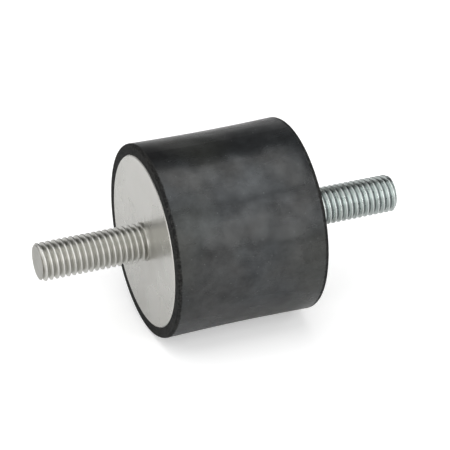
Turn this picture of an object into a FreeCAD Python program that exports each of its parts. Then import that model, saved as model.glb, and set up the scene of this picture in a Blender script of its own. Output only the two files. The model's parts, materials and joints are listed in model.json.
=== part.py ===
import FreeCAD, Part
import Sketcher
import math
import os

# Bobbin vibration mount: a waisted rubber cylinder moulded on to two steel plates, each with a headed stud
# pressed through it from the inside. The mount lies on its side. X runs along its axis from the front end to
# the rear end, Z is up, and the origin is the middle of the rubber. All sizes are in millimetres.

# How a sketch numbers its own references and the points of an edge.
ORIGIN_INDEX = (-1, 1)
HORIZONTAL_AXIS_INDEX = -1
VERTICAL_AXIS_INDEX = -2
START_INDEX = 1
END_INDEX = 2
CENTRE_INDEX = 3

FULL_TURN = 360.0
HALF_TURN = 180.0
UPWARD_ANGLE = math.pi / 2
SAME_PLACE_TOLERANCE = 1e-4
SMALLEST_CUT_SHARE = 1e-3
SAME_VOLUME_SHARE = 1e-3

DRIVING_SIZES = {
    # the rubber; its diameter is that of the sharp rim that the rim's round then takes off, and rim_drop is
    # how far the round has come down where it meets the end face
    "rubber_diameter": 50.0,
    "rubber_length": 40.0,
    "waist_depth": 0.34,
    "rim_round": 1.2,
    "rim_drop": 0.39,
    # the two plates
    "plate_diameter": 44.4,
    "plate_thickness": 3.0,
    "plate_proud": 0.15,
    "plate_edge_chamfer": 0.3,
    # the coat of bonding agent between metal and rubber
    "bond_coat": 0.02,
    # the two studs
    "stud_length": 28.0,
    "thread_diameter": 9.8,
    "end_chamfer": 0.5,
    "seat_step": 0.2,
    "press_gap": 0.01,
    "head_diameter": 16.0,
    "head_thickness": 2.5,
    "head_chamfer": 0.5,
}

# What follows from the driving sizes: radii, and places along the axis. Those of the rubber are counted from
# its middle. Those of a stud are counted from the inner end of its head.
WORKED_OUT = {
    "rubber_half_length": "sizes.rubber_length / 2",
    "rubber_radius": "sizes.rubber_diameter / 2",
    "rim_edge_radius": "rubber_radius - sizes.rim_drop",
    "waist_radius": "rubber_radius - sizes.waist_depth",
    "plate_radius": "sizes.plate_diameter / 2",
    "plate_outer_face": "rubber_half_length + sizes.plate_proud",
    "plate_inner_face": "plate_outer_face - sizes.plate_thickness",
    "head_inner_face": "plate_inner_face - sizes.head_thickness",
    # the hollow in each end of the rubber, which is filled by a plate and a stud's head
    "plate_hollow_radius": "plate_radius + sizes.bond_coat",
    "plate_hollow_floor": "plate_inner_face - sizes.bond_coat",
    "head_hollow_radius": "head_radius + sizes.bond_coat",
    "head_hollow_floor": "head_inner_face - sizes.bond_coat",
    # the stud, with its thread's full diameter right up to the plate, and a chamfer round its end
    "head_radius": "sizes.head_diameter / 2",
    "head_bearing_face": "sizes.head_thickness",
    "thread_radius": "sizes.thread_diameter / 2",
    "end_face_radius": "thread_radius - sizes.end_chamfer",
    "seat_radius": "thread_radius + sizes.seat_step",
    "hole_radius": "seat_radius + sizes.press_gap",
    "seat_end": "sizes.head_thickness + sizes.plate_thickness",
    "stud_end": "seat_end + sizes.stud_length",
    "chamfer_start": "stud_end - sizes.end_chamfer",
}

doc = FreeCAD.newDocument("bobbin_vibration_mount")


def make_sheet(name, cells, as_text):
    """A sheet with one named value on each row: its name in column A, the value in column B."""
    sheet = doc.addObject("Spreadsheet::Sheet", name)
    for row, (alias, content) in enumerate(cells.items(), start=1):
        sheet.set(f"A{row}", alias)
        sheet.set(f"B{row}", as_text(content))
        sheet.setAlias(f"B{row}", alias)
    doc.recompute()
    return sheet


sizes = make_sheet("sizes", DRIVING_SIZES, str)
places = make_sheet("places", WORKED_OUT, lambda formula: "=" + formula)


def cell(alias):
    """The value that a cell of the places sheet has now."""
    return float(getattr(places, alias))


def make_body(name):
    """An empty body for one piece. Its label is the piece's name."""
    body = doc.addObject("PartDesign::Body", name)
    body.Label = name
    return body


def origin_plane(body, role):
    """The body's own base plane with this role, such as XZ_Plane."""
    return next(feature for feature in body.Origin.OriginFeatures if feature.Role == role)


def make_sketch(body, name, role):
    """An empty sketch on one of the body's own base planes."""
    sketch = body.newObject("Sketcher::SketchObject", name)
    sketch.AttachmentSupport = (origin_plane(body, role), [""])
    sketch.MapMode = "FlatFace"
    return sketch


def bind(sketch, constraint, name, expression):
    """Adds a named dimension to a sketch and ties it to the sheets."""
    index = sketch.addConstraint(constraint)
    sketch.renameConstraint(index, name)
    sketch.setExpression(f"Constraints.{name}", expression)


def turned_outline(body, name, corners):
    """A closed outline of straight edges above the turning axis, in the XZ plane. Each corner names the cells
    that hold its place along the axis and its radius. A radius of None puts the corner on the axis, and a
    place of None puts it at the origin."""
    sketch = make_sketch(body, name, "XZ_Plane")
    points = []
    for along, radius in corners:
        x = 0.0 if along is None else cell(along)
        y = 0.0 if radius is None else cell(radius)
        points.append(FreeCAD.Vector(x, y, 0))
    count = len(points)
    for index in range(count):
        sketch.addGeometry(Part.LineSegment(points[index], points[(index + 1) % count]), False)
    for index in range(count):
        following = (index + 1) % count
        sketch.addConstraint(Sketcher.Constraint("Coincident", index, END_INDEX, following, START_INDEX))
    for index, (along, radius) in enumerate(corners):
        corner = (index, START_INDEX)
        if along is None:
            sketch.addConstraint(Sketcher.Constraint("PointOnObject", *corner, VERTICAL_AXIS_INDEX))
        else:
            across = Sketcher.Constraint("DistanceX", *ORIGIN_INDEX, *corner, points[index].x)
            bind(sketch, across, f"corner_{index}_along", f"places.{along}")
        if radius is None:
            sketch.addConstraint(Sketcher.Constraint("PointOnObject", *corner, HORIZONTAL_AXIS_INDEX))
        else:
            upwards = Sketcher.Constraint("DistanceY", *ORIGIN_INDEX, *corner, points[index].y)
            bind(sketch, upwards, f"corner_{index}_radius", f"places.{radius}")
    return sketch


def turn(body, kind, name, sketch):
    """Turns a sketch once round the X axis: a Revolution adds the swept form, a Groove removes it."""
    feature = body.newObject(f"PartDesign::{kind}", name)
    feature.Profile = sketch
    feature.ReferenceAxis = (sketch, ["H_Axis"])
    feature.Angle = FULL_TURN
    body.Tip = feature
    doc.recompute()
    return feature


def circles_at(shape, radius, along):
    """The names of the round edges that have this radius and lie at one of these places on the X axis."""
    names = []
    for number, edge in enumerate(shape.Edges, start=1):
        if edge.Curve.TypeId != "Part::GeomCircle":
            continue
        at_place = any(abs(edge.Curve.Center.x - place) < SAME_PLACE_TOLERANCE for place in along)
        if at_place and abs(edge.Curve.Radius - radius) < SAME_PLACE_TOLERANCE:
            names.append(f"Edge{number}")
    return names


def chamfer_edges(body, name, radius, along, expression):
    """Chamfers the round edges of one radius that lie at these places on the axis."""
    base = body.Tip
    edges = circles_at(base.Shape, radius, along)
    if len(edges) != len(along):
        raise RuntimeError(f"{name}: {len(edges)} edges found for {len(along)} places")
    feature = body.newObject("PartDesign::Chamfer", name)
    feature.Base = (base, edges)
    feature.setExpression("Size", expression)
    body.Tip = feature
    doc.recompute()
    return feature


def put(body, expression, faces_rear):
    """Moves a piece along the axis. One for the front end is also turned about Z, so that it faces forwards."""
    turned = 0.0 if faces_rear else HALF_TURN
    about_z = FreeCAD.Rotation(FreeCAD.Vector(0, 0, 1), turned)
    body.Placement = FreeCAD.Placement(FreeCAD.Vector(), about_z)
    body.setExpression("Placement.Base.x", expression if faces_rear else f"-({expression})")


def rim_arc(end):
    """A first guess at the round of one rim: an arc from the top of its circle down to the end face. End is 1
    for the rear rim and -1 for the front rim. The sketch's own rules then settle where the round lies."""
    rounding = sizes.rim_round
    swept = math.acos(1 - sizes.rim_drop / rounding)
    along = cell("rubber_half_length") - rounding * math.sin(swept)
    centre = FreeCAD.Vector(end * along, cell("rubber_radius") - rounding, 0)
    circle = Part.Circle(centre, FreeCAD.Vector(0, 0, 1), rounding)
    first, last = sorted((UPWARD_ANGLE, UPWARD_ANGLE - end * swept))
    return Part.ArcOfCircle(circle, first, last)


def waisted_outline(body):
    """Half the lengthwise section of the rubber block. The ends are flat. Each rim is round: the round runs
    smoothly into the side and meets the end face in an edge, where the mould's cavity ended. The side draws
    in by waist_depth along one shallow arc, as rubber does when it shrinks between two bonded plates."""
    sketch = make_sketch(body, "side_outline", "XZ_Plane")
    half = cell("rubber_half_length")
    radius = cell("rubber_radius")
    waist = cell("waist_radius")
    edge = cell("rim_edge_radius")
    front_foot = FreeCAD.Vector(-half, 0, 0)
    rear_foot = FreeCAD.Vector(half, 0, 0)
    front_edge = FreeCAD.Vector(-half, edge, 0)
    rear_edge = FreeCAD.Vector(half, edge, 0)
    front_rim = FreeCAD.Vector(-half, radius, 0)
    rear_rim = FreeCAD.Vector(half, radius, 0)
    narrowest = FreeCAD.Vector(0, waist, 0)
    axis = sketch.addGeometry(Part.LineSegment(front_foot, rear_foot), False)
    rear = sketch.addGeometry(Part.LineSegment(rear_foot, rear_edge), False)
    rear_round = sketch.addGeometry(rim_arc(1), False)
    side = sketch.addGeometry(Part.Arc(front_rim, narrowest, rear_rim), False)
    front_round = sketch.addGeometry(rim_arc(-1), False)
    front = sketch.addGeometry(Part.LineSegment(front_edge, front_foot), False)
    waist_point = sketch.addGeometry(Part.Point(narrowest), True)
    rim_point = sketch.addGeometry(Part.Point(rear_rim), True)
    for rule in (
        Sketcher.Constraint("Coincident", axis, END_INDEX, rear, START_INDEX),
        Sketcher.Constraint("Coincident", front, END_INDEX, axis, START_INDEX),
        Sketcher.Constraint("Horizontal", axis),
        Sketcher.Constraint("Symmetric", axis, START_INDEX, axis, END_INDEX, *ORIGIN_INDEX),
        Sketcher.Constraint("Vertical", rear),
        Sketcher.Constraint("Vertical", front),
        Sketcher.Constraint("Coincident", rear, END_INDEX, rear_round, START_INDEX),
        Sketcher.Constraint("Tangent", rear_round, END_INDEX, side, END_INDEX),
        Sketcher.Constraint("Tangent", side, START_INDEX, front_round, START_INDEX),
        Sketcher.Constraint("Coincident", front_round, END_INDEX, front, START_INDEX),
        Sketcher.Constraint("Horizontal", rear, END_INDEX, front, START_INDEX),
        Sketcher.Constraint("Equal", rear_round, front_round),
        Sketcher.Constraint("PointOnObject", side, CENTRE_INDEX, VERTICAL_AXIS_INDEX),
        Sketcher.Constraint("PointOnObject", waist_point, START_INDEX, VERTICAL_AXIS_INDEX),
        Sketcher.Constraint("PointOnObject", waist_point, START_INDEX, side),
        Sketcher.Constraint("PointOnObject", rim_point, START_INDEX, side),
        Sketcher.Constraint("PointOnObject", rim_point, START_INDEX, rear),
    ):
        sketch.addConstraint(rule)
    whole = Sketcher.Constraint("DistanceX", axis, START_INDEX, axis, END_INDEX, sizes.rubber_length)
    bind(sketch, whole, "length", "sizes.rubber_length")
    to_rim = Sketcher.Constraint("DistanceY", *ORIGIN_INDEX, rim_point, START_INDEX, radius)
    bind(sketch, to_rim, "rim", "places.rubber_radius")
    to_waist = Sketcher.Constraint("DistanceY", *ORIGIN_INDEX, waist_point, START_INDEX, waist)
    bind(sketch, to_waist, "waist", "places.waist_radius")
    to_edge = Sketcher.Constraint("DistanceY", *ORIGIN_INDEX, rear, END_INDEX, edge)
    bind(sketch, to_edge, "rim_edge", "places.rim_edge_radius")
    rounding = Sketcher.Constraint("Radius", rear_round, sizes.rim_round)
    bind(sketch, rounding, "rim_round", "sizes.rim_round")
    return sketch


def make_rubber():
    """The rubber, one moulding. Each end has a hollow that takes a plate and, behind it, a stud's head."""
    body = make_body("rubber_body")
    block = turn(body, "Revolution", "block", waisted_outline(body))
    hollow = turned_outline(body, "hollow_outline", (
        ("head_hollow_floor", None),
        ("head_hollow_floor", "head_hollow_radius"),
        ("plate_hollow_floor", "head_hollow_radius"),
        ("plate_hollow_floor", "plate_hollow_radius"),
        ("plate_outer_face", "plate_hollow_radius"),
        ("plate_outer_face", None),
    ))
    block_volume = block.Shape.Volume
    rear_hollow = turn(body, "Groove", "rear_hollow", hollow)
    rear_cut = block_volume - rear_hollow.Shape.Volume
    both_hollows = body.newObject("PartDesign::Mirrored", "front_hollow")
    both_hollows.Originals = [rear_hollow]
    both_hollows.MirrorPlane = (origin_plane(body, "YZ_Plane"), [""])
    body.Tip = both_hollows
    doc.recompute()
    front_cut = block_volume - rear_cut - both_hollows.Shape.Volume
    too_small = rear_cut < SMALLEST_CUT_SHARE * block_volume
    if too_small or abs(rear_cut - front_cut) > SAME_VOLUME_SHARE * rear_cut:
        raise RuntimeError(f"the hollows took {rear_cut:.2f} and {front_cut:.2f} mm3")
    plate_floor = cell("plate_hollow_floor")
    head_floor = cell("head_hollow_floor")
    plate_corners = (-plate_floor, plate_floor)
    head_corners = (-head_floor, head_floor)
    plate_corner_radius = cell("plate_hollow_radius")
    head_corner_radius = cell("head_hollow_radius")
    chamfer_edges(body, "plate_corners", plate_corner_radius, plate_corners, "sizes.plate_edge_chamfer")
    chamfer_edges(body, "head_corners", head_corner_radius, head_corners, "sizes.head_chamfer")
    return body


def make_plate(name, faces_rear):
    """A steel plate, blanked from sheet, with its outer edges broken and a hole for the stud's seat."""
    body = make_body(name)
    sketch = make_sketch(body, "blank", "YZ_Plane")
    centre = FreeCAD.Vector(0, 0, 0)
    normal = FreeCAD.Vector(0, 0, 1)
    for alias in ("plate_radius", "hole_radius"):
        ring = sketch.addGeometry(Part.Circle(centre, normal, cell(alias)), False)
        sketch.addConstraint(Sketcher.Constraint("Coincident", ring, CENTRE_INDEX, *ORIGIN_INDEX))
        bind(sketch, Sketcher.Constraint("Radius", ring, cell(alias)), alias, f"places.{alias}")
    pad = body.newObject("PartDesign::Pad", "disc")
    pad.Profile = sketch
    pad.setExpression("Length", "sizes.plate_thickness")
    body.Tip = pad
    doc.recompute()
    both_faces = (0, sizes.plate_thickness)
    chamfer_edges(body, "broken_edges", cell("plate_radius"), both_faces, "sizes.plate_edge_chamfer")
    put(body, "places.plate_inner_face", faces_rear)
    return body


def make_stud(name, faces_rear):
    """A headed stud. From the inside out: a flat head against the plate's inner face, a seat pressed in the
    plate's hole, the shank at its thread's full diameter, and a chamfered end."""
    body = make_body(name)
    outline = turned_outline(body, "stud_outline", (
        (None, None),
        (None, "head_radius"),
        ("head_bearing_face", "head_radius"),
        ("head_bearing_face", "seat_radius"),
        ("seat_end", "seat_radius"),
        ("seat_end", "thread_radius"),
        ("chamfer_start", "thread_radius"),
        ("stud_end", "end_face_radius"),
        ("stud_end", None),
    ))
    turn(body, "Revolution", "turned_form", outline)
    chamfer_edges(body, "head_edge", cell("head_radius"), (0,), "sizes.head_chamfer")
    put(body, "places.head_inner_face", faces_rear)
    return body


pieces = [
    make_rubber(),
    make_plate("front_plate", faces_rear=False),
    make_plate("rear_plate", faces_rear=True),
    make_stud("front_stud", faces_rear=False),
    make_stud("rear_stud", faces_rear=True),
]
doc.recompute()

failed = [thing.Name for thing in doc.Objects if "Invalid" in thing.State or "Error" in thing.State]
if failed:
    raise RuntimeError("these did not compute: " + ", ".join(failed))
for piece in pieces:
    shape = piece.Shape
    if shape.isNull() or not shape.isValid() or len(shape.Solids) != 1:
        raise RuntimeError(f"{piece.Label} is not one valid solid")

os.makedirs("parts", exist_ok=True)
for piece in pieces:
    piece.Shape.exportStep(f"parts/{piece.Label}.step")
    box = piece.Shape.optimalBoundingBox()
    along = f"x {box.XMin:.2f} to {box.XMax:.2f}"
    print(f"{piece.Label}: {piece.Shape.Volume:.1f} mm3, {along}, width {box.YLength:.2f}")
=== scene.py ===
# %% [markdown]
# # A bobbin vibration mount
#
# A bobbin mount is a rubber cylinder with a steel plate bonded into each end and a threaded stud standing
# out of each plate. One stud is screwed into a machine and the other into its base, so that only the
# rubber joins the two and the shaking stops there. This lesson dresses the plain model of such a mount:
# its true sizes come from the frame, and what is made here is the finish of the rubber and the steel, the
# wound threads, the table, the light and the camera.

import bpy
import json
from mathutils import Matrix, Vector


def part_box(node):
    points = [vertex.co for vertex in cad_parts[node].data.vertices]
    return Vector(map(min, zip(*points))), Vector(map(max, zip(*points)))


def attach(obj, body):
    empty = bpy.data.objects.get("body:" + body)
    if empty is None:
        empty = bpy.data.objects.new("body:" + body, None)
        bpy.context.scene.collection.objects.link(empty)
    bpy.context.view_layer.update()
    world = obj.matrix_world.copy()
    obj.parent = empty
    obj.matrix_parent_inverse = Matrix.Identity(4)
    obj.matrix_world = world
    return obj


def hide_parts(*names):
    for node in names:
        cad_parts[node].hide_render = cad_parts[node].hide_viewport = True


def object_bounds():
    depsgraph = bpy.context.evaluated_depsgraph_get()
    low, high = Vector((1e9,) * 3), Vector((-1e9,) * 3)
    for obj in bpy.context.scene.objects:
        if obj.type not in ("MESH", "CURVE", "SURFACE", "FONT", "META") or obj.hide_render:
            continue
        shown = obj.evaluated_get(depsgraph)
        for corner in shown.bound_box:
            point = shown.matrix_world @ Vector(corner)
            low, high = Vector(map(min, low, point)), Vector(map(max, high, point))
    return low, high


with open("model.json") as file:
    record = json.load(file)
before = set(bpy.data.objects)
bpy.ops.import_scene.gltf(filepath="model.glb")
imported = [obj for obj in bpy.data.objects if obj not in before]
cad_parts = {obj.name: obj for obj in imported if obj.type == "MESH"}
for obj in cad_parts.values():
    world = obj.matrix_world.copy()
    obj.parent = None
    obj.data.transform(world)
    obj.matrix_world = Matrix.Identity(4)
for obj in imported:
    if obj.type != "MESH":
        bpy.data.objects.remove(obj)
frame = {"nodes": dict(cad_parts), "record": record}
plain_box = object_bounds()
print("nodes in the frame:", sorted(frame["nodes"]))

# %% [markdown]
# ## Units and sizes
#
# Blender works in metres, while a maker of mounts thinks in millimetres. Two short helpers turn one into
# the other, so that every size of the mount can be read as it would stand on a drawing. Only the table
# and the lamps, which are as large as furniture, are given in metres.

# %% Tools and units
import json
import math

import bmesh
import bpy
import numpy as np
from mathutils import Vector

MILLIMETRE = 0.001
FULL_TURN = 2 * math.pi


def mm(length):
    """A length in millimetres, in metres."""
    return length * MILLIMETRE


def in_mm(length):
    """A length in metres, in millimetres."""
    return length / MILLIMETRE


print("a millimetre is", mm(1), "in Blender")

# %% [markdown]
# Sizes that the frame already holds are measured on it instead of being written again. The mount is the
# same at both ends, so the rear end stands for both, and distances along the axis are counted from the
# middle of the mount.

# %% Measure the frame
mounts = {mount["name"]: mount for mount in frame["record"]["mounts"]}
rubber_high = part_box("rubber_body")[1]
plate_low, plate_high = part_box("rear_plate")
stud_low, stud_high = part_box("rear_stud")

RUBBER_END_MM = in_mm(rubber_high.x)
PLATE_FACE = plate_high.x
STUD_END = stud_high.x
HEAD_RADIUS = stud_high.y
HEAD_INNER_FACE = stud_low.x
HEAD_BEARING_FACE = plate_low.x
THREAD_RADIUS = mm(mounts["rear_stud"]["dims"]["r_mm"])
TABLE_HEIGHT = plain_box[0][2]

print(f"rubber {2 * in_mm(rubber_high.y):.1f} mm across, thread {2 * in_mm(THREAD_RADIUS):.1f} mm")
print(f"studs end {in_mm(STUD_END):.2f} mm from the middle")

# %% [markdown]
# ## Camera
#
# The photograph was taken from the left of the mount and from about thirty degrees above it, with a long
# lens that keeps the two ends of the rubber nearly equal in size. A camera could be placed by eye, but
# here its direction, distance and lens were worked out from the outlines of the rubber and the plate and
# are given as numbers, and the camera is aimed at a named point near the middle of the mount.

# %% Camera
IMAGE_WIDTH_PX = 450
FOCAL_LENGTH_PX = 2538.4
SENSOR_WIDTH_MM = 36.0
CAMERA_AZIMUTH = math.radians(-21.76)
CAMERA_ELEVATION = math.radians(29.94)
CAMERA_DISTANCE = mm(645.67)
CAMERA_AIM = Vector((mm(1.81), mm(-0.49), mm(0.38)))


def looking_direction(azimuth, elevation):
    """The direction in which a camera looks that stands at this azimuth and elevation."""
    level = math.cos(elevation)
    return Vector((-math.sin(azimuth) * level, math.cos(azimuth) * level, -math.sin(elevation)))


looking = looking_direction(CAMERA_AZIMUTH, CAMERA_ELEVATION)
camera_data = bpy.data.cameras.new("photo_camera")
camera_data.sensor_width = SENSOR_WIDTH_MM
camera_data.lens = FOCAL_LENGTH_PX * SENSOR_WIDTH_MM / IMAGE_WIDTH_PX
camera = bpy.data.objects.new("photo_camera", camera_data)
camera.location = CAMERA_AIM - looking * CAMERA_DISTANCE
camera.rotation_euler = looking.to_track_quat("-Z", "Y").to_euler()
bpy.context.scene.collection.objects.link(camera)
bpy.context.scene.camera = camera
bpy.context.scene.view_settings.view_transform = "Standard"
print(f"camera with a {camera_data.lens:.0f} mm lens, {CAMERA_DISTANCE:.3f} m away")

# %% [markdown]
# ## Helpers for finishes
#
# Every finish is a small network of nodes. Two helpers keep those networks short enough to read: one makes
# a new material around a Principled shader, and the other adds a node, sets it up and plugs it in. A third
# gives the place of each point in millimetres, so that the scale of a texture is a plain count of features
# for each millimetre. None of the surfaces has been unwrapped, and with these places none needs to be.


# %% Helpers for materials and nodes
def new_finish(name, **settings):
    """A material with a Principled shader. It gives the material, its node tree and the shader."""
    material = bpy.data.materials.new(name)
    material.use_nodes = True
    tree = material.node_tree
    shader = tree.nodes["Principled BSDF"]
    for socket, value in settings.items():
        shader.inputs[socket.replace("_", " ")].default_value = value
    return material, tree, shader


def add_node(tree, kind, inputs=None, **properties):
    """A node of this kind. Each input is a plain value or the socket that feeds it."""
    fresh = tree.nodes.new(kind)
    for name, value in properties.items():
        setattr(fresh, name, value)
    for key, value in (inputs or {}).items():
        if isinstance(value, bpy.types.NodeSocket):
            tree.links.new(value, fresh.inputs[key])
        else:
            fresh.inputs[key].default_value = value
    return fresh


def places_in_mm(tree):
    """The place of each point, in millimetres from the middle of the mount."""
    place = add_node(tree, "ShaderNodeTexCoord").outputs["Object"]
    settings = {0: place, "Scale": 1 / MILLIMETRE}
    return add_node(tree, "ShaderNodeVectorMath", settings, operation="SCALE").outputs[0]


print("helpers for materials and nodes ready")

# %% [markdown]
# A finish is worked out from plain values, step by step. One helper does a single piece of arithmetic, one
# maps a range of values on to another range, and one turns a first colour into a second. A Mix node has
# sockets for numbers, vectors and colours side by side under the same names, so the ones for colours are
# reached by their place in the row.

# %% Helpers for values and colours
MIX_FIRST_COLOUR = 6
MIX_SECOND_COLOUR = 7
MIXED_COLOUR = 2


def calculate(tree, operation, first, second=0.0, third=0.0):
    """One sum, product or other piece of arithmetic."""
    settings = {0: first, 1: second, 2: third}
    return add_node(tree, "ShaderNodeMath", settings, operation=operation).outputs[0]


def spread(tree, value, low, high, to_low=0.0, to_high=1.0):
    """Maps the range from low to high on to another range, and holds it there."""
    settings = {"Value": value, "From Min": low, "From Max": high, "To Min": to_low, "To Max": to_high}
    return add_node(tree, "ShaderNodeMapRange", settings).outputs[0]


def blend_colours(tree, share, first, second):
    """One colour turning into another as share goes from 0 to 1."""
    settings = {0: share, MIX_FIRST_COLOUR: first, MIX_SECOND_COLOUR: second}
    return add_node(tree, "ShaderNodeMix", settings, data_type="RGBA").outputs[MIXED_COLOUR]


def colour(red, green, blue):
    """A colour with no transparency, as linear light."""
    return (red, green, blue, 1.0)


print("helpers for values and colours ready")

# %% [markdown]
# No real surface is even, so every finish leans on soft noise: a bloom, a stain or a grain is the same
# noise at another scale. Each pattern below is a few settings with a name. Nearly all values of a soft
# noise lie between 0.3 and 0.7, so that span is stretched where a finish has to run from one end of its
# range to the other. Near the planes through its origin all layers of a noise are weak at once, which
# shows as a seam, so the patterns are shifted until those planes miss the mount.

# %% Helper for soft noise
NOISE_SPAN = (0.3, 0.7)
PATTERN_SHIFT_MM = (57.9, 113.3, -29.7)


def noise(tree, place, per_mm, detail, fineness=0.5, stretch=None):
    """Soft noise with this many features for each millimetre. Detail is how many finer layers it has,
    fineness how strong each is beside the one before, and stretch makes it long along some axes."""
    place = add_node(tree, "ShaderNodeVectorMath", {0: place, 1: PATTERN_SHIFT_MM}).outputs[0]
    if stretch:
        place = add_node(tree, "ShaderNodeMapping", {0: place, "Scale": stretch}).outputs[0]
    settings = {"Vector": place, "Scale": per_mm, "Detail": detail, "Roughness": fineness}
    return add_node(tree, "ShaderNodeTexNoise", settings).outputs["Fac"]


print("patterns shifted by", PATTERN_SHIFT_MM, "mm")

# %% [markdown]
# ## Rubber
#
# The rubber is moulded in one piece, and its ends and the rounds of its rims are trimmed after moulding.
# There it is gritty, blacker and has no gloss, and the edge of that band wanders a little. The band could
# be cut into the mesh as faces of its own, but then its edge would run dead straight. Here it is a share
# that each part of the finish asks for, and a noise makes its edge ragged.

# %% Trimmed ends of the rubber
TRIMMED_BAND_MM = 0.9
RAGGED_EDGE_MM = 0.45
RAGGED_NOISE = dict(per_mm=1.6, detail=4, fineness=0.7)


def distance_from_middle(tree, place):
    """How far a point is from the mount's middle, measured along the axis, in millimetres."""
    along = add_node(tree, "ShaderNodeSeparateXYZ", {0: place}).outputs["X"]
    return calculate(tree, "ABSOLUTE", along)


def trimmed_share(tree, place):
    """1 on the trimmed end and round the rim, 0 on the side, with a ragged edge between the two."""
    wander = spread(tree, noise(tree, place, **RAGGED_NOISE), *NOISE_SPAN, 0, RAGGED_EDGE_MM)
    reach = calculate(tree, "ADD", distance_from_middle(tree, place), wander)
    start = RUBBER_END_MM - TRIMMED_BAND_MM
    return spread(tree, reach, start, start + TRIMMED_BAND_MM / 2)


print(f"trimmed band on about the last {TRIMMED_BAND_MM} mm of the rubber")

# %% [markdown]
# Natural rubber filled with carbon black comes out of its mould nearly black and half matt. In the weeks
# after, waxes rise to the surface as a thin grey bloom, hands wipe it off in places, and dust settles on
# it. A flat black would look like painted wood. So the colour drifts between the bare rubber and the
# bloom, a slower drift adds the warmer patches, and tiny pale specks are thrown over it, with a radius
# that is given as a share of the space between them. On the trimmed ends a coarse grit takes the place of
# all that.

# %% Colour of the rubber
BARE_RUBBER = colour(0.0040, 0.0040, 0.0045)
BLOOMED_RUBBER = colour(0.0205, 0.0225, 0.0235)
BLOOM_NOISE = dict(per_mm=0.10, detail=8, fineness=0.68)
BLOOM_SPAN = (0.36, 0.66)
WARM_RUBBER = colour(0.025, 0.0255, 0.0185)
WARMTH_NOISE = dict(per_mm=0.035, detail=1)
WARMTH_SPAN = (0.5, 0.7)
WARMTH_SHARE = 0.6
SPECK_COLOUR = colour(0.10, 0.105, 0.105)
SPECKS_PER_MM = 0.55
SPECK_RADIUS = 0.085
SPECK_SHARE = 0.8
CUT_RUBBER = colour(0.0045, 0.0044, 0.0042)
GRITTY_RUBBER = colour(0.032, 0.031, 0.029)
GRIT_NOISE = dict(per_mm=1.5, detail=3, fineness=0.7)
GRIT_SPAN = (0.46, 0.66)


def rubber_colour(tree, place, trimmed):
    """Bare rubber, bloom, warm patches and specks on the side, and grit on the trimmed ends."""
    bloom = spread(tree, noise(tree, place, **BLOOM_NOISE), *BLOOM_SPAN)
    warmth = spread(tree, noise(tree, place, **WARMTH_NOISE), *WARMTH_SPAN, 0, WARMTH_SHARE)
    side = blend_colours(tree, bloom, BARE_RUBBER, BLOOMED_RUBBER)
    side = blend_colours(tree, warmth, side, WARM_RUBBER)
    cells = add_node(tree, "ShaderNodeTexVoronoi", {"Vector": place, "Scale": SPECKS_PER_MM})
    speck = spread(tree, cells.outputs["Distance"], SPECK_RADIUS, SPECK_RADIUS / 2, 0, SPECK_SHARE)
    side = blend_colours(tree, speck, side, SPECK_COLOUR)
    grit = spread(tree, noise(tree, place, **GRIT_NOISE), *GRIT_SPAN)
    ends = blend_colours(tree, grit, CUT_RUBBER, GRITTY_RUBBER)
    return blend_colours(tree, trimmed, side, ends)


print("about one speck on every", round(1 / SPECKS_PER_MM, 1), "mm of rubber")

# %% [markdown]
# What the eye reads as rubber is less its colour than its patchy sheen. Wax makes a patch mirror more
# light and tints it blue or warm, wiping leaves streaks that run along the mount, and near the rims, where
# the mount is gripped, part of the wax is gone. One even gloss would turn the rubber into plastic pipe, so
# the specular level, its tint and the roughness each follow one of these.

# %% Sheen of the rubber
COOL_WAX = colour(0.92, 0.97, 1.0)
WARM_WAX = colour(0.985, 0.99, 0.975)
WAX_HUE_NOISE = dict(per_mm=0.06, detail=2)
WAX_HUE_SPAN = (0.42, 0.58)
WAX_NOISE = dict(per_mm=0.22, detail=7, fineness=0.72)
WAX_LEVEL = (0.5, 1.0)
TRIMMED_LEVEL = 0.3
GRIPPED_END_MM = (9.0, 1.5)
GRIPPED_SHARE = 0.74
STREAK_NOISE = dict(per_mm=0.16, detail=3, stretch=(0.25, 1.0, 1.0))
WIPED_ROUGHNESS = (0.23, 0.33)
TRIMMED_ROUGHER = 0.65


def wax_level(tree, place, trimmed):
    """How strongly each point mirrors: patchy wax, less of it near the rims, and none on the ends."""
    level = spread(tree, noise(tree, place, **WAX_NOISE), *NOISE_SPAN, *WAX_LEVEL)
    gripped = [RUBBER_END_MM - reach for reach in GRIPPED_END_MM]
    gripped = spread(tree, distance_from_middle(tree, place), *gripped, 1, GRIPPED_SHARE)
    level = calculate(tree, "MULTIPLY", level, gripped)
    return spread(tree, trimmed, 0, 1, level, TRIMMED_LEVEL)


def wax_tint(tree, place):
    """Cool wax in some places and warmer wax in others."""
    hue = spread(tree, noise(tree, place, **WAX_HUE_NOISE), *WAX_HUE_SPAN)
    return blend_colours(tree, hue, COOL_WAX, WARM_WAX)


def rubber_roughness(tree, place, trimmed):
    """Wiped streaks along the side, and matt ends."""
    side = spread(tree, noise(tree, place, **STREAK_NOISE), *NOISE_SPAN, *WIPED_ROUGHNESS)
    return calculate(tree, "MULTIPLY_ADD", trimmed, TRIMMED_ROUGHER, side)


print("lowest and highest level of the wax:", *WAX_LEVEL)

# %% [markdown]
# Two shallow bumps, long waves left by the mould and a fine grain, keep the reflections from running dead
# straight, and a third rolls the side over slightly towards each rim. They could be shaped in the mesh,
# but the outline of the real rubber is smooth, so they stay in the finish. Bumps are stacked by feeding
# each one with the one below.

# %% Bumps of the rubber
ROLLED_END_MM = 7.0
ROLL_BUMP = (1.0, 0.4)
WAVE_NOISE = dict(per_mm=0.10, detail=1)
WAVE_BUMP = (0.8, 0.7)
GRAIN_NOISE = dict(per_mm=5.0, detail=3)
GRAIN_BUMP = (0.12, 0.03)


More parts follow.
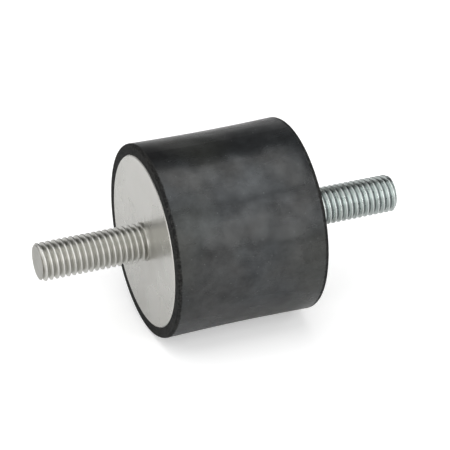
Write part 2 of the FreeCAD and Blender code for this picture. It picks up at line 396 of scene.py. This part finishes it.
def roughen(tree, shader, *layers):
    """Stacks bumps on a shader. Each layer is a height, its strength and its depth in millimetres."""
    below = None
    for height, strength, depth in layers:
        settings = {"Height": height, "Strength": strength, "Distance": mm(depth)}
        if below:
            settings["Normal"] = below
        below = add_node(tree, "ShaderNodeBump", settings).outputs[0]
    tree.links.new(below, shader.inputs["Normal"])


def rolled_end(tree, place):
    """A height that falls off in a curve over the last millimetres before each rim."""
    near = distance_from_middle(tree, place)
    near = spread(tree, near, RUBBER_END_MM - ROLLED_END_MM, RUBBER_END_MM)
    return calculate(tree, "SUBTRACT", 1.0, calculate(tree, "MULTIPLY", near, near))


print(f"the side rolls over on its last {ROLLED_END_MM} mm")

# %% [markdown]
# All of that is plugged into one shader, and the rubber of the plain model gets the material as it is.
# Its solid is already the whole moulding, so there is nothing to rebuild.


# %% Dress the rubber
def make_rubber_finish():
    """Half matt black rubber with a drifting bloom, patchy wax, wiped streaks and trimmed ends."""
    material, tree, shader = new_finish("moulded_black_rubber", Specular_IOR_Level=sum(WAX_LEVEL) / 2)
    place = places_in_mm(tree)
    trimmed = trimmed_share(tree, place)
    surface = {
        "Base Color": rubber_colour(tree, place, trimmed),
        "Roughness": rubber_roughness(tree, place, trimmed),
        "Specular IOR Level": wax_level(tree, place, trimmed),
        "Specular Tint": wax_tint(tree, place),
    }
    for socket, value in surface.items():
        tree.links.new(value, shader.inputs[socket])
    waves = noise(tree, place, **WAVE_NOISE)
    grain = noise(tree, place, **GRAIN_NOISE)
    layers = [(rolled_end(tree, place), *ROLL_BUMP), (waves, *WAVE_BUMP), (grain, *GRAIN_BUMP)]
    roughen(tree, shader, *layers)
    return material


def dress(node_name, finish):
    """Gives a node of the plain model its finish."""
    slots = frame["nodes"][node_name].data.materials
    slots.clear()
    slots.append(finish)


rubber_finish = make_rubber_finish()
dress("rubber_body", rubber_finish)
print("rubber finish:", len(rubber_finish.node_tree.nodes), "nodes")

# %% [markdown]
# ## Plates
#
# The plates are blanked from sheet steel and blasted before the rubber is bonded on, and their outer faces
# are then cleaned. What is left is a satin grey that shows the stud as a soft reflection. A perfect mirror
# blurred by one roughness looks like plastic foil, so the roughness and the grey drift a little over the
# face and a fine blasted grain breaks up the light. A faint ring round the stud is where the press tool
# stood on the plate.

# %% Plate finish
PLATE_STEEL = colour(0.615, 0.607, 0.578)
DULL_STEEL = colour(0.55, 0.542, 0.508)
PLATE_METAL_SHARE = 0.8
DULL_PATCH_NOISE = dict(per_mm=0.09, detail=4)
DULL_PATCH_SPAN = (0.35, 0.7)
PLATE_ROUGHNESS = (0.25, 0.31)
PRESS_RING_RADIUS_MM = 6.6
PRESS_RING_WIDTH_MM = 0.5
RING_BUMP = (0.25, 0.05)
BLAST_NOISE = dict(per_mm=7.0, detail=2)
BLAST_BUMP = (0.05, 0.01)


def distance_from_axis(tree, place):
    """How far a point is from the mount's axis, in millimetres."""
    settings = {0: place, 1: (0, 1, 1)}
    across = add_node(tree, "ShaderNodeVectorMath", settings, operation="MULTIPLY").outputs[0]
    return add_node(tree, "ShaderNodeVectorMath", {0: across}, operation="LENGTH").outputs["Value"]


def make_plate_finish():
    """Satin steel with a blasted grain and the faint ring that the press tool leaves."""
    material, tree, shader = new_finish("satin_plate_steel", Metallic=PLATE_METAL_SHARE)
    place = places_in_mm(tree)
    patches = spread(tree, noise(tree, place, **DULL_PATCH_NOISE), *DULL_PATCH_SPAN)
    tone = blend_colours(tree, patches, PLATE_STEEL, DULL_STEEL)
    tree.links.new(tone, shader.inputs["Base Color"])
    tree.links.new(spread(tree, patches, 0, 1, *PLATE_ROUGHNESS), shader.inputs["Roughness"])
    from_ring = calculate(tree, "SUBTRACT", distance_from_axis(tree, place), PRESS_RING_RADIUS_MM)
    from_ring = calculate(tree, "ABSOLUTE", from_ring)
    ring = spread(tree, from_ring, 0, PRESS_RING_WIDTH_MM)
    blasted = noise(tree, place, **BLAST_NOISE)
    roughen(tree, shader, (ring, *RING_BUMP), (blasted, *BLAST_BUMP))
    return material


plate_finish = make_plate_finish()
dress("front_plate", plate_finish)
dress("rear_plate", plate_finish)
print("plate finish on both plates")

# %% [markdown]
# ## Stud steel
#
# A rolled thread is burnished by the rolling dies, so its crests and flanks shine. The roots and the
# corner beside the plate get painted shade, a darker colour where shade falls. The end was sheared off
# before rolling, so it has one even grey. Painting such marks by hand would take a picture for every stud.
# Here they are worked out as a share of bright steel from how far each point lies from the axis, plate and
# end.

# %% Burnished steel and painted shade on the studs
THREAD_PITCH = mm(1.5)
THREAD_DEPTH = mm(0.84)
# Painted shade in the roots: how high above the root the colour is darkened.
PAINTED_ROOT_SHADE_MM = (0.06, 0.32)
# Painted shade beside the plate: how far along the thread it is coloured darker, and how dark.
PAINTED_CORNER_SHADE_MM = 1.2
CORNER_SHADE_SHARE = 0.35
CUT_FACE_MM = (0.05, 0.02)
CUT_FACE_SHARE = 0.24
STAIN_NOISE = dict(per_mm=0.8, detail=3)
STAIN_SPAN = (0.25, 0.6)
STAIN_SHARE = 0.88


def clean_and_unshaded_share(tree, place):
    """1 on burnished steel; less on the end and under stains, and painted shade in the roots and the
    corner.
    """
    from_middle = distance_from_middle(tree, place)
    root_radius = in_mm(THREAD_RADIUS - THREAD_DEPTH)
    # Painted shade: the bottom of each root is coloured darker, where the groove would lie in shade.
    unshaded_above = [root_radius + height for height in PAINTED_ROOT_SHADE_MM]
    bright_share = spread(tree, distance_from_axis(tree, place), *unshaded_above)
    face_starts = [in_mm(STUD_END) - depth for depth in CUT_FACE_MM]
    face = spread(tree, from_middle, *face_starts)
    bright_share = spread(tree, face, 0, 1, bright_share, CUT_FACE_SHARE)
    plate_face = in_mm(PLATE_FACE)
    # Painted shade: the thread is coloured darker over its first millimetres beside the plate.
    corner = spread(tree, from_middle, plate_face, plate_face + PAINTED_CORNER_SHADE_MM, CORNER_SHADE_SHARE, 1)
    stains = spread(tree, noise(tree, place, **STAIN_NOISE), *STAIN_SPAN, STAIN_SHARE, 1)
    return calculate(tree, "MULTIPLY", calculate(tree, "MULTIPLY", bright_share, corner), stains)


# Prints the length of the painted shade beside the plate.
print(f"shaded corner on the first {PAINTED_CORNER_SHADE_MM} mm of each thread")

# %% [markdown]
# The colour runs by that share from a dark root colour, which gives the painted shade as well as the
# stains and the end, to a bright crest. The dies also leave fine lines that run round with the thread,
# made here by a noise that is drawn out round the stud. The two studs of this mount come from different
# batches, one a warm bare grey and the other plated with a cooler sheen, so one function is called twice.

# %% Stud finishes
# The root colours give the painted shade in the roots and beside the plate, and also the stains and the
# sheared end.
WARM_CREST = colour(0.63, 0.625, 0.592)
WARM_ROOT_SHADE_AND_STAIN = colour(0.35, 0.345, 0.315)
WARM_ROUGHNESS = 0.33
COOL_CREST = colour(0.64, 0.69, 0.675)
COOL_ROOT_SHADE_AND_STAIN = colour(0.18, 0.20, 0.20)
COOL_ROUGHNESS = 0.28
GLOSS_NOISE = dict(per_mm=0.5, detail=3)
GLOSS_DRIFT = (-0.04, 0.06)
LINE_NOISE = dict(per_mm=2.6, detail=4, fineness=0.7, stretch=(1.3, 0.25, 0.25))
LINE_BUMP = (1.0, 0.05)


def make_stud_finish(name, crest, root, roughness):
    """Burnished steel, bright on the crests, with painted shade in the roots and beside the plate."""
    material, tree, shader = new_finish(name, Metallic=1.0)
    place = places_in_mm(tree)
    tone = blend_colours(tree, clean_and_unshaded_share(tree, place), root, crest)
    tree.links.new(tone, shader.inputs["Base Color"])
    gloss = [roughness + change for change in GLOSS_DRIFT]
    drift = spread(tree, noise(tree, place, **GLOSS_NOISE), *NOISE_SPAN, *gloss)
    tree.links.new(drift, shader.inputs["Roughness"])
    lines = noise(tree, place, **LINE_NOISE)
    roughen(tree, shader, (lines, *LINE_BUMP))
    return material


front_stud_finish = make_stud_finish("warm_rolled_steel", WARM_CREST, WARM_ROOT_SHADE_AND_STAIN, WARM_ROUGHNESS)
rear_stud_finish = make_stud_finish("cool_plated_steel", COOL_CREST, COOL_ROOT_SHADE_AND_STAIN, COOL_ROUGHNESS)
print("stud finishes:", front_stud_finish.name, rear_stud_finish.name)

# %% [markdown]
# ## The section of the thread
#
# A metric thread is a sixty degree tooth with a flat crest and a round root, wound on at 1.5 mm a turn.
# The plain model has only a smooth shank of the same diameter. A tooth with sharp corners would be quick
# to wind, but it would catch the light like a saw blade. So it is described by a few stations along one
# pitch, each with its drop below the crest. Rolling pushes the steel up from both sides, and where the two
# ridges meet a fine seam stays open in the middle of the crest. From the seam the tooth goes out to a
# softened corner, over a shoulder, down the straight flank and round the root. The root's radius is worked
# out, so that it leaves both flanks smoothly at the stated depth. That is enough for light to run over the
# tooth as it does over steel, and it keeps each stud under a hundred thousand triangles.

# %% Stations of one tooth
SEAM_DEPTH = mm(0.03)
CREST_TOP = mm(0.09)
CREST_CORNER = (mm(0.16), mm(0.02))
SHOULDER = (mm(0.21), mm(0.09))
FLANK_SLOPE = math.tan(math.radians(30))
ROOT_MIDDLE = THREAD_PITCH / 2
ROOT_STEPS = [math.radians(degrees) for degrees in (60, 30)]


def root_rounding():
    """The radius of the root that runs smoothly out of both flanks and reaches the thread's depth."""
    shoulder_along, shoulder_drop = SHOULDER
    sharp_depth = shoulder_drop + (ROOT_MIDDLE - shoulder_along) / FLANK_SLOPE
    return sharp_depth - THREAD_DEPTH


def tooth_stations():
    """Places along one pitch, counted from the middle of a crest, and how far each is below the crest."""
    rounding = root_rounding()
    root = []
    for turned in ROOT_STEPS:
        rise = rounding * (1 - math.cos(turned))
        root.append((ROOT_MIDDLE - rounding * math.sin(turned), THREAD_DEPTH - rise))
    flank_middle = tuple(np.mean([SHOULDER, root[0]], axis=0))
    half = [(CREST_TOP, 0.0), CREST_CORNER, SHOULDER, flank_middle] + root
    other_half = [(-along, drop) for along, drop in reversed(half)]
    return np.array(other_half + [(0.0, SEAM_DEPTH)] + half + [(ROOT_MIDDLE, THREAD_DEPTH)]).T


tooth_along, tooth_drop = tooth_stations()
print(len(tooth_along), "stations for each turn of thread")

# %% [markdown]
# ## Winding the thread
#
# A helix could be made with a Screw modifier, but its ends would still have to be cut, capped and faded by
# hand. Instead the shank is laid out as columns of points, one column for each step round the axis. In
# each column the stations of the tooth repeat from end to end, and every next column is pushed on by its
# share of the pitch. Points that would fall past an end are held at the end, where they run together and
# are merged. Beside the plate the thread fades into a smooth collar. At the far end a cone cuts the crests
# down to the end face, and a second cone of the same slope fills the roots up to it, so that the thread
# runs out into a whole edge.
#
# Both studs carry a right-hand thread. Where a crest crosses the top outline of each stud was read off the
# photograph, so that the teeth stand where they do there.

# %% Wind the shank
STEPS_ROUND = 96
COLLAR_LENGTH = mm(0.4)
FADE_LENGTH = mm(0.4)
END_CHAMFER = mm(0.5)
END_FACE_RADIUS = THREAD_RADIUS - END_CHAMFER
TOP_OUTLINE_ANGLE = math.radians(58.6)
angles_round = np.arange(STEPS_ROUND) * FULL_TURN / STEPS_ROUND


def eased(share):
    """Runs from 0 to 1 as share does, but starts and stops softly."""
    return share * share * (3 - 2 * share)


def shank_radius(distance, drop):
    """The radius at a distance from the mount's middle, for a point this far below the thread's crest."""
    fade = eased(np.clip((distance - PLATE_FACE - COLLAR_LENGTH) / FADE_LENGTH, 0, 1))
    to_end = STUD_END - distance
    radius = np.minimum(THREAD_RADIUS - drop * fade, END_FACE_RADIUS + to_end)
    return np.maximum(radius, END_FACE_RADIUS - to_end)


def wound_columns(side, crest_station):
    """The points of a threaded shank, a row for each column. Side is 1 for the rear stud and -1 for the
    front one. The turns go one pitch past each end, because the columns are pushed on by up to a pitch."""
    near, far = sorted((side * (PLATE_FACE + COLLAR_LENGTH), side * STUD_END))
    first = math.floor((near - crest_station) / THREAD_PITCH) - 1
    last = math.ceil((far - crest_station) / THREAD_PITCH) + 1
    turns = np.arange(first, last + 1) * THREAD_PITCH
    stations = (turns[:, None] + tooth_along).ravel()
    drops = np.tile(tooth_drop, len(turns))
    lead = THREAD_PITCH * (angles_round - TOP_OUTLINE_ANGLE) / FULL_TURN
    along = np.clip(crest_station + lead[:, None] + stations, near, far)
    return along, shank_radius(np.abs(along), drops)


print("the shank takes", STEPS_ROUND, "steps round")

# %% [markdown]
# The rest of a stud is turned and not wound: the collar, the seat in the plate's hole, the flat head
# behind the plate, and the end face. Each of these is a row of rings, and a ring is a distance from the
# mount's middle and a radius. The head and the seat are hidden, but they belong to the piece, so they are
# made as the plain model has them.

# %% Turn the head and the end
SEAT_RADIUS = THREAD_RADIUS + mm(0.2)
HEAD_CHAMFER = mm(0.5)


def lathe_rings(side):
    """The rings from the thread in to the head's middle, and those from the thread to the end's middle."""
    inner = [
        (PLATE_FACE + COLLAR_LENGTH, THREAD_RADIUS),
        (PLATE_FACE, THREAD_RADIUS),
        (PLATE_FACE, SEAT_RADIUS),
        (HEAD_BEARING_FACE, SEAT_RADIUS),
        (HEAD_BEARING_FACE, HEAD_RADIUS),
        (HEAD_INNER_FACE + HEAD_CHAMFER, HEAD_RADIUS),
        (HEAD_INNER_FACE, HEAD_RADIUS - HEAD_CHAMFER),
        (HEAD_INNER_FACE, 0.0),
    ]
    outer = [(STUD_END, END_FACE_RADIUS), (STUD_END, END_FACE_RADIUS / 2), (STUD_END, 0.0)]
    return [[(side * along, radius) for along, radius in rings] for rings in (inner, outer)]


print(f"head {2 * in_mm(HEAD_RADIUS):.1f} mm across, seat {2 * in_mm(SEAT_RADIUS):.1f} mm")

# %% [markdown]
# The columns are joined into quads. Going once round the axis moves a crest on by one pitch, so the last
# column meets the first one a whole tooth further along.


# %% Join the columns into quads
def add_grid(mesh, along, radius, angles, shift=0):
    """Quads between neighbouring columns of points. Shift is how many rows on the last meets the first."""
    columns, rows = along.shape
    points = []
    for column in range(columns):
        across = np.cos(angles[column]) * radius[column]
        up = np.sin(angles[column]) * radius[column]
        points.append([mesh.verts.new(place) for place in zip(along[column], across, up)])
    for column in range(columns):
        step = shift if column == columns - 1 else 0
        here = points[column]
        following = points[(column + 1) % columns]
        for row in range(rows - 1 - step):
            after = row + step
            corners = (here[row], following[after], following[after + 1], here[row + 1])
            mesh.faces.new(corners)


print("the last column meets the first", len(tooth_along), "rows on")

# %% [markdown]
# The turned parts are added as ordinary rings and their shared edges are merged with the shank's, so the
# result is one closed skin like the real stud's. It takes the place of the plain stud. A cylinder with
# the thread as a bump would be less work, but its outline would stay smooth, and a thread is read by its
# outline.

# %% Make both studs
FRONT_CREST_STATION = mm(-46.156)
REAR_CREST_STATION = mm(30.412)
MERGE_DISTANCE = mm(0.001)
SHARP_EDGE_ANGLE = math.radians(40)


def make_stud(end, side, crest_station, finish):
    """One whole stud with its head, seat, collar, thread and chamfered end."""
    name = f"{end}_threaded_stud"
    mesh = bmesh.new()
    add_grid(mesh, *wound_columns(side, crest_station), angles_round, shift=len(tooth_along))
    for rings in lathe_rings(side):
        along = np.tile([place for place, _ in rings], (STEPS_ROUND, 1))
        radius = np.tile([size for _, size in rings], (STEPS_ROUND, 1))
        add_grid(mesh, along, radius, angles_round)
    bmesh.ops.remove_doubles(mesh, verts=mesh.verts, dist=MERGE_DISTANCE)
    loose = [point for point in mesh.verts if not point.link_faces]
    bmesh.ops.delete(mesh, geom=loose, context="VERTS")
    bmesh.ops.recalc_face_normals(mesh, faces=mesh.faces)
    open_edges = sum(len(edge.link_faces) != 2 for edge in mesh.edges)
    data = bpy.data.meshes.new(name)
    mesh.to_mesh(data)
    mesh.free()
    data.shade_smooth()
    data.set_sharp_from_angle(angle=SHARP_EDGE_ANGLE)
    data.materials.append(finish)
    stud = bpy.data.objects.new(name, data)
    bpy.context.scene.collection.objects.link(stud)
    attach(stud, "root")
    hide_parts(f"{end}_stud")
    print(f"{name}: {len(data.polygons)} faces, {open_edges} open edges")


make_stud("front", -1, FRONT_CREST_STATION, front_stud_finish)
make_stud("rear", 1, REAR_CREST_STATION, rear_stud_finish)

# %% [markdown]
# ## Table
#
# The mount lies on a white table that has no edges in the picture. A backdrop with a bend behind the mount
# would do the same, but one flat sheet, large enough to reach past the picture on all sides, is simpler
# and leaves the light free.

# %% Table
TABLE_SIZE = 8.0

half = TABLE_SIZE / 2
corners = [(-half, -half), (half, -half), (half, half), (-half, half)]
table_data = bpy.data.meshes.new("table")
table_data.from_pydata([(x, y, TABLE_HEIGHT) for x, y in corners], [], [(0, 1, 2, 3)])
table = bpy.data.objects.new("table", table_data)
bpy.context.scene.collection.objects.link(table)
print(f"table at {in_mm(TABLE_HEIGHT):.2f} mm")

# %% [markdown]
# A white surface alone renders as a pale grey, because no surface gives back all of its light. The table
# therefore glows a little, but only towards the camera and in reflections: there it reads as white, it
# still takes the mount's shadow, and it throws no false light on the mount. In a reflection the table
# close to the mount stays as dark as its shadow makes it, and the glow rises only further out in front,
# which is what gives the lower half of the rubber its even dark grey.

# %% Table finish
WHITE = colour(1, 1, 1)
TABLE_WHITE = colour(0.8, 0.8, 0.8)
TABLE_GLOW = 0.375
POOL_GLOW = 0.24
POOL_EDGES = (mm(-30), mm(-110))


def table_glow(tree):
    """How strongly the table glows: to the camera, less in a reflection, and not for any other light."""
    path = add_node(tree, "ShaderNodeLightPath").outputs
    mirrored = calculate(tree, "MAXIMUM", path["Is Glossy Ray"], path["Is Transmission Ray"])
    place = add_node(tree, "ShaderNodeTexCoord").outputs["Object"]
    behind = add_node(tree, "ShaderNodeSeparateXYZ", {0: place}).outputs["Y"]
    pool = spread(tree, behind, *POOL_EDGES, 0, POOL_GLOW)
    mirrored = calculate(tree, "MULTIPLY", mirrored, pool)
    seen = calculate(tree, "MULTIPLY", path["Is Camera Ray"], TABLE_GLOW)
    return calculate(tree, "MAXIMUM", seen, mirrored)


table_settings = dict(Base_Color=TABLE_WHITE, Roughness=1.0, Specular_IOR_Level=0.0, Emission_Color=WHITE)
table_finish, table_tree, table_shader = new_finish("white_table", **table_settings)
table_tree.links.new(table_glow(table_tree), table_shader.inputs["Emission Strength"])
table_data.materials.append(table_finish)
print("the camera sees a glow of", TABLE_GLOW, "on top of the table's own white")

# %% [markdown]
# ## Light
#
# A black part on a white ground is lit by what it mirrors, so each softbox is placed by the stripe that it
# lays along the rubber. One hangs overhead and makes the upper stripe, and one leans over the camera and
# makes the middle one. The gap between them is the faint dark line across the rubber. Both end less than
# half a metre to the right of the mount, so that the rim at that end, which is turned that way, mirrors
# the dark room. A third stands off to the right: the rubber hardly sees it, but it gets in between the
# teeth of the threads and lights their flanks. A fourth hangs behind the mount and throws its shadow
# forwards.

# %% Softboxes
SOFTBOX_DISTANCE = 0.9
SOFTBOXES = {
    "overhead_softbox": dict(lean_degrees=6, depth=0.859, left=-1.5, right=0.41, brightness=1.65),
    "front_softbox": dict(lean_degrees=61.5, depth=0.783, left=-0.9, right=0.43, brightness=1.62),
    "side_softbox": dict(lean_degrees=50, depth=1.10, left=0.60, right=1.20, brightness=3.2),
    "back_softbox": dict(lean_degrees=-45, depth=0.5, left=-0.4, right=0, brightness=2.6),
}


def add_softbox(name, lean_degrees, depth, left, right, brightness):
    """A soft light with this lean from overhead towards the viewer's side. Left and right are its edges
    along the mount's axis, depth is its size across the axis, and a brightness of 1 reads as white."""
    lean = math.radians(lean_degrees)
    width = right - left
    data = bpy.data.lights.new(name, "AREA")
    data.shape = "RECTANGLE"
    data.size = width
    data.size_y = depth
    data.energy = brightness * math.pi * width * depth
    softbox = bpy.data.objects.new(name, data)
    outward = Vector((0, -math.sin(lean), math.cos(lean)))
    softbox.location = outward * SOFTBOX_DISTANCE + Vector(((left + right) / 2, 0, 0))
    softbox.rotation_euler = (lean, 0, 0)
    bpy.context.scene.collection.objects.link(softbox)
    print(f"{name}: {data.energy:.1f} W")
    return softbox


softboxes = {name: add_softbox(name, **settings) for name, settings in SOFTBOXES.items()}

# %% [markdown]
# The mirror image of the back softbox would spoil the dark line along the top of the studs. Moving it
# further round would move the shadow too, so it is linked to the table instead: it lights the table alone,
# while the mount still stands in its way.

# %% Link the back softbox to the table
lit_from_behind = bpy.data.collections.new("lit_from_behind")
lit_from_behind.objects.link(table)
softboxes["back_softbox"].light_linking.receiver_collection = lit_from_behind

# %% [markdown]
# The rest of the studio is the world's colour, chosen by where a ray points. Behind the mount a pale cove
# rises from the table and brightens the rubber's top edge, in front of it the cove is nearly dark, and
# both fade into a dark room above. To the left stands a low white wall, which the front plate mirrors.
# Walls could be built as meshes, but a colour by direction is quicker to tune and takes no light away.
# Only the camera sees the room as plain white.

# %% Room, cove and side wall
ROOM_START = math.sin(math.radians(30))
ROOM_GREY = 0.10
COVE_BEHIND = 0.55
COVE_IN_FRONT = 0.10
COVE_TURN = (-0.2, 0.2)
SIDE_WALL_WHITE = 1.3
SIDE_WALL_TOP = (math.sin(math.radians(15)), math.sin(math.radians(30)))
SIDE_WALL_TURN = (-0.35, -0.7)

world = bpy.data.worlds.new("studio")
bpy.context.scene.world = world
world.use_nodes = True
room = world.node_tree
direction = add_node(room, "ShaderNodeTexCoord").outputs["Generated"]
pointing = add_node(room, "ShaderNodeSeparateXYZ", {0: direction}).outputs
cove = spread(room, pointing["Y"], *COVE_TURN, COVE_IN_FRONT, COVE_BEHIND)
brightness = spread(room, pointing["Z"], 0, ROOM_START, cove, ROOM_GREY)
low = spread(room, pointing["Z"], *SIDE_WALL_TOP, 1, 0)
to_the_left = spread(room, pointing["X"], *SIDE_WALL_TURN)
wall = calculate(room, "MULTIPLY", calculate(room, "MULTIPLY", low, to_the_left), SIDE_WALL_WHITE)
brightness = calculate(room, "MAXIMUM", brightness, wall)
camera_only = add_node(room, "ShaderNodeLightPath").outputs["Is Camera Ray"]
brightness = calculate(room, "MAXIMUM", brightness, camera_only)
room.links.new(brightness, room.nodes["Background"].inputs["Strength"])
room.nodes["Background"].inputs["Color"].default_value = WHITE
print("pale cove behind, white wall on the left, dark room above")
